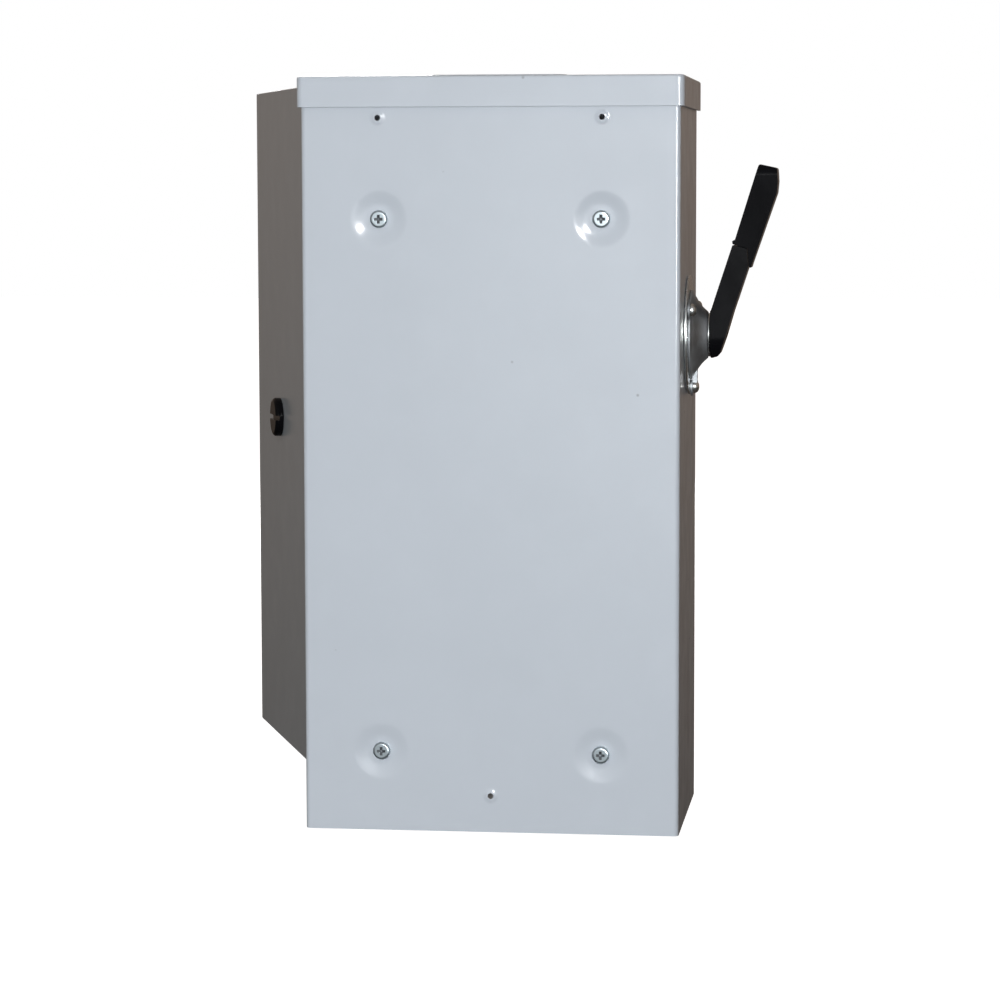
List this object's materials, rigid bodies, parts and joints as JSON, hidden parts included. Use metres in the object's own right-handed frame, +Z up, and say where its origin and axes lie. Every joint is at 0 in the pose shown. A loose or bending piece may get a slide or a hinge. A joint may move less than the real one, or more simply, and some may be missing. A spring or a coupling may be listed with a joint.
{
  "type": "enclosed disconnect switch",
  "caption": "Wall-mounted enclosed disconnect switch: painted steel case with rain cap, hinged door with quarter-turn latch, side operating handle and a fused three-pole blade switch inside.",
  "frame": {"origin": "on the wall plane, at the middle of the case's width and level with its bottom edge", "axes": "+Z up along the case's height, +Y into the wall behind it, -Y out of the door, -X the side that carries the handle"},
  "size_m": [0.3773, 0.3603, 0.4519],
  "materials": {
    "case_paint": "pale blue-grey baked enamel, glossy",
    "door_paint": "pale blue-grey baked enamel, glossy",
    "plated_steel": "zinc plated pressed steel",
    "bright_zinc": "bright zinc plating",
    "dark_casting": "dark die casting, satin",
    "black_plastic": "black moulding, satin",
    "moulded_base": "dark thermoset moulding",
    "rotor_plastic": "black insulated crossbar",
    "clear_shield": "clear polycarbonate sheet",
    "bar_aluminium": "extruded, satin",
    "plated_copper": "tin plated copper",
    "fuse_tube": "fibre tube with metal ferrules",
    "terminal_steel": "yellow-zinc screws"
  },
  "bodies": {
    "case": {"body_shell": "case_paint", "bottom_plate": "case_paint", "top_cap": "case_paint", "hub_cover": "case_paint", "hinge_case_leaf_lower": "case_paint", "hinge_case_leaf_upper": "case_paint", "mounting_plate": "plated_steel", "mechanism_frame": "plated_steel", "mechanism_spring": "plated_steel", "handle_ring": "bright_zinc", "hinge_pin_lower": "bright_zinc", "hinge_pin_upper": "bright_zinc", "plate_screw_1": "bright_zinc", "plate_screw_2": "bright_zinc", "plate_screw_3": "bright_zinc", "plate_screw_4": "bright_zinc", "dome_screw_1": "bright_zinc", "dome_screw_2": "bright_zinc", "dome_screw_3": "bright_zinc", "handle_dome": "dark_casting", "switch_base": "moulded_base", "line_shield": "clear_shield", "ground_bar": "bar_aluminium", "line_jaw_1": "plated_copper", "load_jaw_1": "plated_copper", "load_clip_1": "plated_copper", "fuse_1": "fuse_tube", "line_terminal_1": "terminal_steel", "load_terminal_1": "terminal_steel", "line_jaw_2": "plated_copper", "load_jaw_2": "plated_copper", "load_clip_2": "plated_copper", "fuse_2": "fuse_tube", "line_terminal_2": "terminal_steel", "load_terminal_2": "terminal_steel", "line_jaw_3": "plated_copper", "load_jaw_3": "plated_copper", "load_clip_3": "plated_copper", "fuse_3": "fuse_tube", "line_terminal_3": "terminal_steel", "load_terminal_3": "terminal_steel"},
    "handle": {"lever_arm": "black_plastic", "lever_grip": "black_plastic", "hub_screw": "bright_zinc", "handle_shaft": "plated_steel", "neck_washer": "bright_zinc", "drive_crank": "plated_steel"},
    "rotor": {"rotor": "rotor_plastic", "blade_1": "plated_copper", "blade_2": "plated_copper", "blade_3": "plated_copper"},
    "door": {"door_pan": "door_paint", "latch_nut": "plated_steel", "door_catch": "plated_steel", "hinge_door_leaf_lower": "door_paint", "hinge_door_leaf_upper": "door_paint"},
    "latch": {"latch_knob": "black_plastic", "latch_cam": "plated_steel"},
    "interlock": {"interlock_lever": "plated_steel"}
  },
  "joints": [
    {"name": "handle_turn", "type": "hinge", "parent": "case", "child": "handle", "pos_m": [-0.1125, -0.068, 0.2955], "axis": [1, 0, 0], "range_deg": [0, 150]},
    {"name": "rotor_turn", "type": "hinge", "parent": "case", "child": "rotor", "pos_m": [0, -0.068, 0.2955], "axis": [1, 0, 0], "range_deg": [0, 65]},
    {"name": "door_swing", "type": "hinge", "parent": "case", "child": "door", "pos_m": [0.1178, -0.1434, 0.225], "axis": [0, 0, 1], "range_deg": [-111, 69]},
    {"name": "latch_turn", "type": "hinge", "parent": "door", "child": "latch", "pos_m": [0.17917, -0.27173, 0.229], "axis": [-0.9336, -0.3584, 0], "range_deg": [0, 90]},
    {"name": "interlock_tilt", "type": "hinge", "parent": "case", "child": "interlock", "pos_m": [-0.0832, -0.096, 0.262], "axis": [1, 0, 0], "range_deg": [-20, 0]}
  ],
  "couplings": [
    {"joint": "rotor_turn", "follows": "handle_turn", "ratio": 0.43333}
  ]
}
